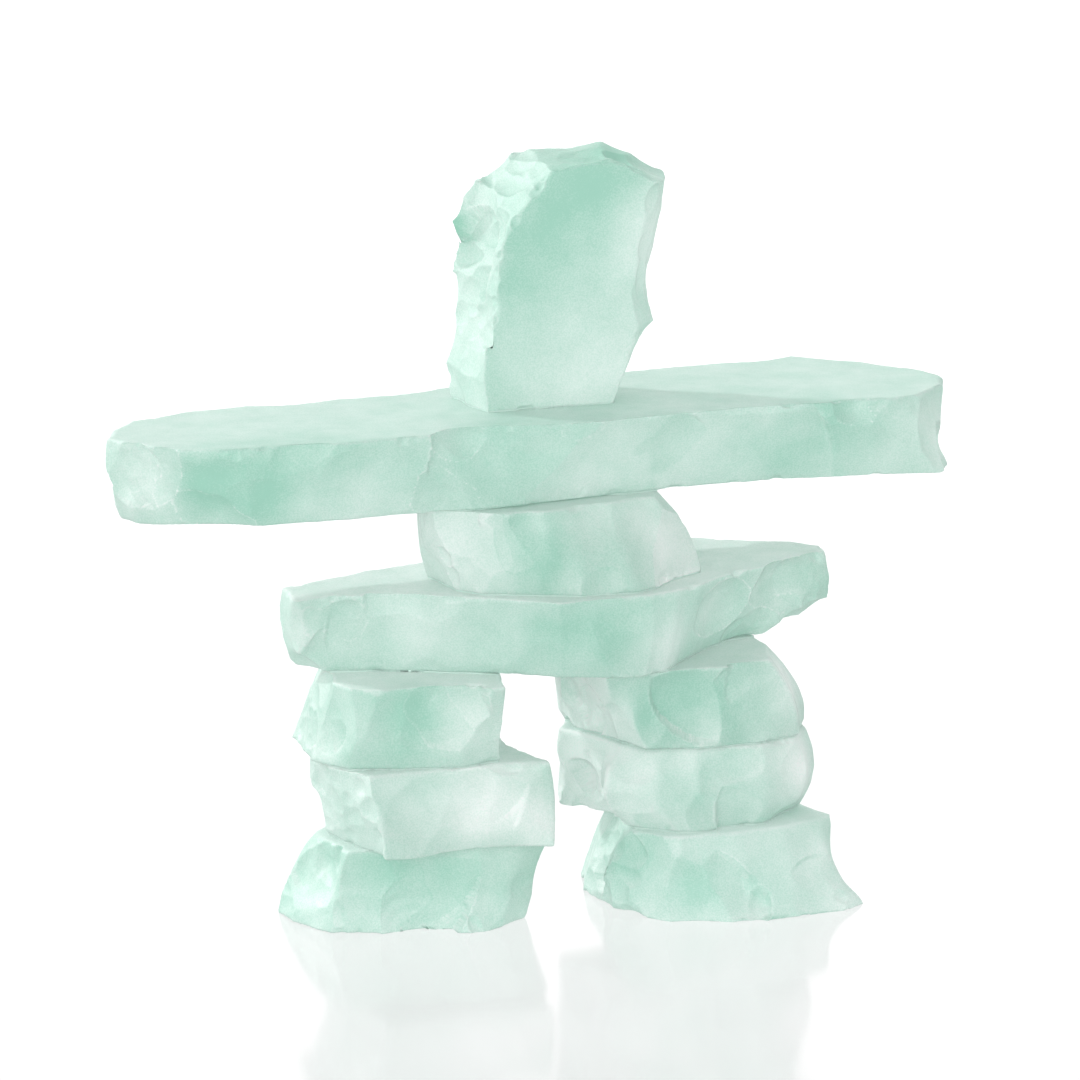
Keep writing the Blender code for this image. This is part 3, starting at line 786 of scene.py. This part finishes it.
def roughen(shell, seed):
    """The slow swell and the fine hackle of a broken side."""
    normals = shell.normals()
    steep = ease((1.0 - np.abs(normals[:, shell.axis])) / 0.3)
    normals[:, shell.axis] *= 0.5
    height = np.full(len(shell.points), KEPT_FULL)
    for turn, (size, swell) in enumerate(SWELLS):
        height += swell * noise(shell.points, size, seed + turn)
    shell.move(normals * (height * steep)[:, None])


def glass_block(node):
    """The piece that is seen in place of a node's solid."""
    facts = BLOCKS[node]
    cell = facts["cell"] if fine else CELL_COARSE
    piece = fine_copy(node, cell)
    low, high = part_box(node)
    shell = Shell(piece, low, high, FRONTWARD if node == "head" else UPRIGHT)
    draw = np.random.RandomState(facts["seed"])
    shell.relax(RELAX_ROUNDS if fine else RELAX_ROUNDS // 4)
    for swelling in facts["pushes"]:
        shell.push(*swelling)
    roughen(shell, facts["seed"])
    break_sides(shell, facts["rough"], draw)
    for scar in facts["flakes"]:
        shell.strike(**scar)
    for rounding in facts["worn"]:
        shell.wear(*rounding)
    chip_rims(shell, draw)
    shell.keep_in(*cad_box)
    note_contact_faces(node, shell)
    # Painted light and shade for the material: paler tops and left sides, the listed spots and the flakes'
    # painted light
    tone = tones(shell, facts["top"], facts["left"], facts["tones"])
    write_points(piece.data, shell.points)
    # crest marks where the material paints highlights; tone carries the painted light and shade
    store(piece.data, "crest", shell.crests())
    store(piece.data, "tone", tone)
    store(piece.data, "broken", shell.broken())
    count = 2 * len(piece.data.polygons)
    if count > facts["triangles"]:
        fewer = piece.modifiers.new("fewer", "DECIMATE")
        fewer.ratio = facts["triangles"] / count
        fewer.use_collapse_triangulate = True
        applied(piece)
    piece.data.shade_smooth()
    piece.data.materials.append(frosted_glass(node + "_glass", facts["seed"]))
    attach(piece, BODY)
    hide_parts(node)


def store(mesh, name, values):
    """Gives a mesh a value at each point, for its material."""
    attribute = mesh.attributes.new(name, "FLOAT", "POINT")
    attribute.data.foreach_set("value", values.astype(np.float32))


MIDDLE_TONE = 0.28               # tone of the glass where nothing changes it


def tones(shell, top, left, spots):
    """How pale the glass is at each point, from 0 where it looks deep to 1 where it looks milky; beyond its
    middle tone this is mostly painted light and shade.

    Faces that lie upward are painted paler by top, and those that look left by left, where the light falls
    on them; the spots are painted paler and deeper places, mostly where light and shade fall, and the flakes
    add their painted light and rim highlights.
    """
    normals = shell.normals()
    tone = MIDDLE_TONE + top * ease(normals[:, UPRIGHT]) + left * ease(-normals[:, 0]) + shell.tone
    # painted light and shade at the listed spots
    for place, reach, step in spots:
        away = np.linalg.norm(shell.points - np.array(place), axis=1)
        tone += step * np.exp(-(away / reach) ** 2)
    return np.clip(tone, 0.0, 1.0)


# Looks of the glass
GLASS_DEEP = (0.31, 0.57, 0.465, 1.0)
GLASS_MILKY = (1.0, 0.98, 0.99, 1.0)
CLOUDS = 0.08                    # how much the clouds in the glass change its tone
SPECKS = 0.1                     # how much the etched grain changes it
CREST_HIGHLIGHT = 0.15                # painted highlight: how much paler a crest is painted
PAINTED_GLOW = 0.08                      # painted glow: light that the glass gives off itself, standing in for light scattered inside a block, and filling its shadows
DEPTH_TINT = (0.55, 0.85, 0.78, 1.0)
DEPTH_DENSITY = 8.0              # absorption in each metre of glass
GLASS_IOR = 1.5
GLASS_ROUGH = (0.5, 0.62)
SEE_THROUGH = 0.4                # share of the light that passes into the glass
NOISE_SPAN = (0.3, 0.7)          # where most values of Blender's noise lie

# Sizes of what the surface shows
CLOUD_SIZE = 9.0
SPECK_SIZE = 0.35
ROUGH_SIZE = 2.5
GRAIN_SIZE = 0.28                # the etched grain
GRAIN_HEIGHT = 0.06
GRAIN_STRENGTH = 0.25
HACKLE_SIZE = 1.6                # the fine hackle on the broken sides
HACKLE_HEIGHT = 0.35
HACKLE_STRENGTH = 0.5


def frosted_glass(name, seed):
    """Sea-green glass with an etched surface: rough and cloudy in places, with painted light and shade from
    its tone, painted highlights along its crests, and a painted glow that fills its shadows.
    """
    material = bpy.data.materials.new(name)
    material.use_nodes = True
    tree = material.node_tree
    nodes, links = tree.nodes, tree.links
    shader = nodes["Principled BSDF"]
    shader.inputs["IOR"].default_value = GLASS_IOR
    shader.inputs["Transmission Weight"].default_value = SEE_THROUGH
    # painted glow that fills the shadows
    shader.inputs["Emission Strength"].default_value = PAINTED_GLOW
    material.cycles.emission_sampling = "NONE"

    depth = nodes.new("ShaderNodeVolumeAbsorption")
    depth.inputs["Color"].default_value = DEPTH_TINT
    depth.inputs["Density"].default_value = DEPTH_DENSITY
    links.new(depth.outputs["Volume"], nodes["Material Output"].inputs["Volume"])

    where = nodes.new("ShaderNodeTexCoord")
    shifted = nodes.new("ShaderNodeVectorMath")
    shifted.operation = "ADD"
    shifted.inputs[1].default_value = (seed * 0.013, seed * 0.029, seed * 0.017)
    links.new(where.outputs["Object"], shifted.inputs[0])

    def lumps(size, detail):
        """Noise with lumps of this size, in millimetres."""
        node = nodes.new("ShaderNodeTexNoise")
        node.inputs["Scale"].default_value = 1.0 / (size * MM)
        node.inputs["Detail"].default_value = detail
        links.new(shifted.outputs["Vector"], node.inputs["Vector"])
        return node.outputs["Fac"]

    def ranged(value, to_low, to_high):
        """Noise brought into this range."""
        node = nodes.new("ShaderNodeMapRange")
        node.inputs["From Min"].default_value = NOISE_SPAN[0]
        node.inputs["From Max"].default_value = NOISE_SPAN[1]
        node.inputs["To Min"].default_value = to_low
        node.inputs["To Max"].default_value = to_high
        links.new(value, node.inputs["Value"])
        return node.outputs["Result"]

    def mixed(share, first, second):
        """A colour between two."""
        node = nodes.new("ShaderNodeMix")
        node.data_type = "RGBA"
        links.new(share, node.inputs["Factor"])
        node.inputs["A"].default_value = first
        node.inputs["B"].default_value = second
        return node.outputs["Result"]

    def stored(name):
        """What the mesh says at each of its points."""
        node = nodes.new("ShaderNodeAttribute")
        node.attribute_name = name
        return node.outputs["Fac"]

    def summed(value, other, times):
        """A value and so many times another."""
        node = nodes.new("ShaderNodeMath")
        node.operation = "MULTIPLY_ADD"
        links.new(other, node.inputs[0])
        node.inputs[1].default_value = times
        links.new(value, node.inputs[2])
        return node.outputs["Value"]

    # The clouds and the etched grain are the glass's own; the stored tone brings painted light and shade,
    # and the crests a painted highlight
    tone = summed(stored("tone"), ranged(lumps(CLOUD_SIZE, 3.0), -CLOUDS, CLOUDS), 1.0)
    tone = summed(tone, ranged(lumps(SPECK_SIZE, 1.0), -SPECKS, SPECKS), 1.0)
    tone = summed(tone, stored("crest"), CREST_HIGHLIGHT)
    colour = mixed(tone, GLASS_DEEP, GLASS_MILKY)
    links.new(colour, shader.inputs["Base Color"])
    # the painted glow takes the colour of the painted tone
    links.new(colour, shader.inputs["Emission Color"])
    links.new(ranged(lumps(ROUGH_SIZE, 4.0), *GLASS_ROUGH), shader.inputs["Roughness"])

    grain = nodes.new("ShaderNodeBump")
    grain.inputs["Strength"].default_value = GRAIN_STRENGTH
    grain.inputs["Distance"].default_value = GRAIN_HEIGHT * MM
    links.new(lumps(GRAIN_SIZE, 2.0), grain.inputs["Height"])
    hackle = nodes.new("ShaderNodeBump")
    hackle.inputs["Strength"].default_value = HACKLE_STRENGTH
    hackle.inputs["Distance"].default_value = HACKLE_HEIGHT * MM
    height = nodes.new("ShaderNodeMath")
    height.operation = "MULTIPLY"
    links.new(lumps(HACKLE_SIZE, 4.0), height.inputs[0])
    links.new(stored("broken"), height.inputs[1])
    links.new(height.outputs["Value"], hackle.inputs["Height"])
    links.new(grain.outputs["Normal"], hackle.inputs["Normal"])
    links.new(hackle.outputs["Normal"], shader.inputs["Normal"])
    return material


# The films of adhesive, each between a lower block and an upper one
FILMS = (
    ("left_foot", "left_shin"),
    ("left_shin", "left_thigh"),
    ("left_thigh", "hips"),
    ("right_foot", "right_shin"),
    ("right_shin", "right_thigh"),
    ("right_thigh", "hips"),
    ("hips", "chest"),
    ("chest", "arms"),
    ("arms", "head"),
)
FILM_SIDES = 240
FILM_INSET = 0.05                # from the edge of the smaller face to the film
FILM_CLEAR = 0.02                # between the film and the glass, so that their meshes don't touch
FILM_HOLLOW = 0.12               # how much the film's edge curves in

# Where a film doesn't reach the edge: its upper block, and the sector in degrees from +X
BARE = {"arms": (-135.0, -40.0)}
BARE_INSET = 2.5

# Where two blocks' adhesive has squeezed out in beads, in the same way
BEADED = {("left_thigh", "hips"): (-125.0, -85.0)}
BEADS = 9
BEAD_SEED = 9
BEAD_RADII = (0.25, 0.55)
BEAD_LEVEL = 0.8                 # height of a bead's middle over the lower block, as a share of its radius

ADHESIVE_TINTS = ((0.62, 0.86, 0.77, 1.0), (0.85, 0.97, 0.92, 1.0))
ADHESIVE_ROUGH = (0.2, 0.45)
ADHESIVE_LUMPS = 1.2

CONTACT_DEPTH = 0.3              # points this near a block's lowest or highest level belong to a face

# The undersides and tops of the blocks, filled in as they are made
undersides = {}
upper_faces = {}


def note_contact_faces(node, shell):
    """Keeps the points of a block's underside and of its top, as places in the plan."""
    level = shell.points[:, UPRIGHT]
    undersides[node] = shell.points[level < shell.low[UPRIGHT] + CONTACT_DEPTH][:, :2]
    upper_faces[node] = shell.points[level > shell.high[UPRIGHT] - CONTACT_DEPTH][:, :2]


def reach_around(points, centre):
    """How far points reach from a centre, in each of the directions around it."""
    away = points - centre
    turn = np.arctan2(away[:, 1], away[:, 0]) / (2.0 * pi)
    sector = (turn % 1.0 * FILM_SIDES).astype(int) % FILM_SIDES
    reach = np.zeros(FILM_SIDES)
    np.maximum.at(reach, sector, np.hypot(away[:, 0], away[:, 1]))
    return reach


def glue_film(lower, upper):
    """The film between two blocks, out to the edge of the smaller face."""
    under = upper_faces[lower]
    over = undersides[upper]
    nearest = np.maximum(under.min(axis=0), over.min(axis=0))
    furthest = np.minimum(under.max(axis=0), over.max(axis=0))
    centre = (nearest + furthest) / 2.0
    edge = np.minimum(reach_around(under, centre), reach_around(over, centre))
    reach = edge - FILM_INSET
    turns = (np.arange(FILM_SIDES) + 0.5) / FILM_SIDES * 2.0 * pi
    if upper in BARE:
        first, last = BARE[upper]
        from_middle = np.abs(np.degrees(turns) - 360.0 - (first + last) / 2.0)
        reach = reach - BARE_INSET * ease(1.5 - from_middle / (last - first) * 2.0)
    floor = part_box(lower)[1][UPRIGHT] / MM + FILM_CLEAR
    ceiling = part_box(upper)[0][UPRIGHT] / MM - FILM_CLEAR
    film = bmesh.new()
    around = np.stack((np.cos(turns), np.sin(turns)), axis=1)
    rings = []
    for level, hollow in ((floor, 0.0), ((floor + ceiling) / 2.0, FILM_HOLLOW), (ceiling, 0.0)):
        plan = centre + around * (reach - hollow)[:, None]
        rings.append([film.verts.new((x * MM, y * MM, level * MM)) for x, y in plan])
    for below, above in zip(rings, rings[1:]):
        for side in range(FILM_SIDES):
            after = (side + 1) % FILM_SIDES
            film.faces.new((below[side], below[after], above[after], above[side]))
    film.faces.new(rings[0][::-1])
    film.faces.new(rings[-1])
    if (lower, upper) in BEADED:
        add_beads(film, centre, edge, floor, BEADED[lower, upper])
    mesh = bpy.data.meshes.new("film")
    film.to_mesh(mesh)
    film.free()
    mesh.shade_smooth()
    piece = bpy.data.objects.new(upper + "_" + lower + "_adhesive", mesh)
    bpy.context.scene.collection.objects.link(piece)
    mesh.materials.append(adhesive())
    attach(piece, BODY)


def add_beads(film, centre, edge, floor, sector):
    """Beads of adhesive along part of the edge of a film."""
    draw = np.random.RandomState(BEAD_SEED)
    for _ in range(BEADS):
        turn = radians(draw.uniform(*sector)) % (2.0 * pi)
        radius = draw.uniform(*BEAD_RADII)
        far = edge[int(turn / (2.0 * pi) * FILM_SIDES)]
        level = floor + radius * BEAD_LEVEL
        place = Vector((centre[0] + far * cos(turn), centre[1] + far * sin(turn), level))
        there = Matrix.Translation(place * MM)
        bmesh.ops.create_icosphere(film, subdivisions=2, radius=radius * MM, matrix=there)


def adhesive():
    """Clear adhesive, which looks as green as the glass around it. The films share one material."""
    material = bpy.data.materials.get("adhesive")
    if material is not None:
        return material
    material = bpy.data.materials.new("adhesive")
    material.use_nodes = True
    material.cycles.emission_sampling = "NONE"
    nodes, links = material.node_tree.nodes, material.node_tree.links
    shader = nodes["Principled BSDF"]
    shader.inputs["IOR"].default_value = GLASS_IOR
    shader.inputs["Transmission Weight"].default_value = SEE_THROUGH
    # painted glow, as on the glass, filling the shade at the joints
    shader.inputs["Emission Strength"].default_value = PAINTED_GLOW
    lumps = nodes.new("ShaderNodeTexNoise")
    lumps.inputs["Scale"].default_value = 1.0 / (ADHESIVE_LUMPS * MM)
    colours = nodes.new("ShaderNodeValToRGB")
    for element, tint in zip(colours.color_ramp.elements, ADHESIVE_TINTS):
        element.color = tint
    roughs = nodes.new("ShaderNodeMapRange")
    roughs.inputs["To Min"].default_value = ADHESIVE_ROUGH[0]
    roughs.inputs["To Max"].default_value = ADHESIVE_ROUGH[1]
    links.new(lumps.outputs["Fac"], colours.inputs["Fac"])
    links.new(lumps.outputs["Fac"], roughs.inputs["Value"])
    links.new(colours.outputs["Color"], shader.inputs["Base Color"])
    links.new(colours.outputs["Color"], shader.inputs["Emission Color"])
    links.new(roughs.outputs["Result"], shader.inputs["Roughness"])
    return material


def make_camera():
    """A camera where the photograph's stood."""
    back = Vector((
        sin(CAMERA_AZIMUTH) * cos(CAMERA_ELEVATION),
        -cos(CAMERA_AZIMUTH) * cos(CAMERA_ELEVATION),
        sin(CAMERA_ELEVATION),
    ))
    data = bpy.data.cameras.new("camera")
    data.sensor_width = SENSOR
    data.lens = SENSOR * CAMERA_DISTANCE / VIEW_WIDTH
    data.clip_start = 0.01
    data.clip_end = 50.0
    camera = bpy.data.objects.new("camera", data)
    bpy.context.scene.collection.objects.link(camera)
    camera.location = (CAMERA_TARGET + back * CAMERA_DISTANCE) * MM
    camera.rotation_euler = (-back).to_track_quat("-Z", "Y").to_euler()
    bpy.context.scene.camera = camera


FLOOR_REACH_M = 4.0
FLOOR_GLOW = 0.72
FLOOR_ROUGH = 0.12
FLOOR_IOR = 1.8                  # sets how strongly it mirrors the figure


def make_floor():
    """A pale, faintly glossy table that glows evenly, as one lit from below."""
    reach = FLOOR_REACH_M
    mesh = bpy.data.meshes.new("floor")
    outline = ((-reach, -reach, 0.0), (reach, -reach, 0.0), (reach, reach, 0.0), (-reach, reach, 0.0))
    mesh.from_pydata(outline, [], [(0, 1, 2, 3)])
    floor = bpy.data.objects.new("floor", mesh)
    bpy.context.scene.collection.objects.link(floor)
    material = bpy.data.materials.new("floor")
    material.use_nodes = True
    shader = material.node_tree.nodes["Principled BSDF"]
    shader.inputs["Base Color"].default_value = (0.0, 0.0, 0.0, 1.0)
    shader.inputs["Roughness"].default_value = FLOOR_ROUGH
    shader.inputs["IOR"].default_value = FLOOR_IOR
    shader.inputs["Emission Color"].default_value = (1.0, 1.0, 1.0, 1.0)
    shader.inputs["Emission Strength"].default_value = FLOOR_GLOW
    mesh.materials.append(material)


# Light, with places in metres
KEY_FROM = Vector((-0.72, 0.69, 0.68))
KEY_STRENGTH = 1.5
KEY_ANGLE = radians(2.0)
FILL_FROM = Vector((-0.6, -1.1, 0.4))
FILL_SIZE_M = 0.6
FILL_RADIANCE = 4.8
FILL_TARGET = Vector((0.0, 0.0, 0.08))
WORLD_TOWARD = Vector((-0.3, 0.2, -0.93)).normalized()    # the way from dim to bright
WORLD_DIM = 0.7
WORLD_BRIGHT = 1.6
WORLD_TURN = (-0.95, 0.15)       # how far along that way it starts and ends to brighten


def aim(light, place, target):
    """Puts a light at a place, turned to a target."""
    light.location = place
    light.rotation_euler = (place - target).to_track_quat("Z", "Y").to_euler()


def make_light():
    """A small key from behind on the left, a softbox in front, and a room that is dim overhead."""
    scene = bpy.context.scene
    key = bpy.data.lights.new("key", "SUN")
    key.energy = KEY_STRENGTH
    key.angle = KEY_ANGLE
    key_object = bpy.data.objects.new("key", key)
    scene.collection.objects.link(key_object)
    aim(key_object, KEY_FROM, Vector())

    fill = bpy.data.lights.new("softbox", "AREA")
    fill.size = FILL_SIZE_M
    fill.energy = FILL_RADIANCE * pi * FILL_SIZE_M ** 2
    fill_object = bpy.data.objects.new("softbox", fill)
    scene.collection.objects.link(fill_object)
    aim(fill_object, FILL_FROM, FILL_TARGET)

    world = bpy.data.worlds.new("room")
    world.use_nodes = True
    scene.world = world
    nodes, links = world.node_tree.nodes, world.node_tree.links
    where = nodes.new("ShaderNodeTexCoord")
    toward = nodes.new("ShaderNodeVectorMath")
    toward.operation = "DOT_PRODUCT"
    toward.inputs[1].default_value = WORLD_TOWARD
    links.new(where.outputs["Generated"], toward.inputs[0])
    bright = nodes.new("ShaderNodeMapRange")
    bright.interpolation_type = "SMOOTHSTEP"
    bright.inputs["From Min"].default_value = WORLD_TURN[0]
    bright.inputs["From Max"].default_value = WORLD_TURN[1]
    bright.inputs["To Min"].default_value = WORLD_DIM
    bright.inputs["To Max"].default_value = WORLD_BRIGHT
    links.new(toward.outputs["Value"], bright.inputs["Value"])
    links.new(bright.outputs["Result"], nodes["Background"].inputs["Strength"])
    nodes["Background"].inputs["Color"].default_value = (1.0, 1.0, 1.0, 1.0)
    scene.view_settings.view_transform = "Standard"


make_camera()
make_floor()
make_light()
for name in BLOCKS:
    glass_block(name)
for joint in FILMS:
    glue_film(*joint)
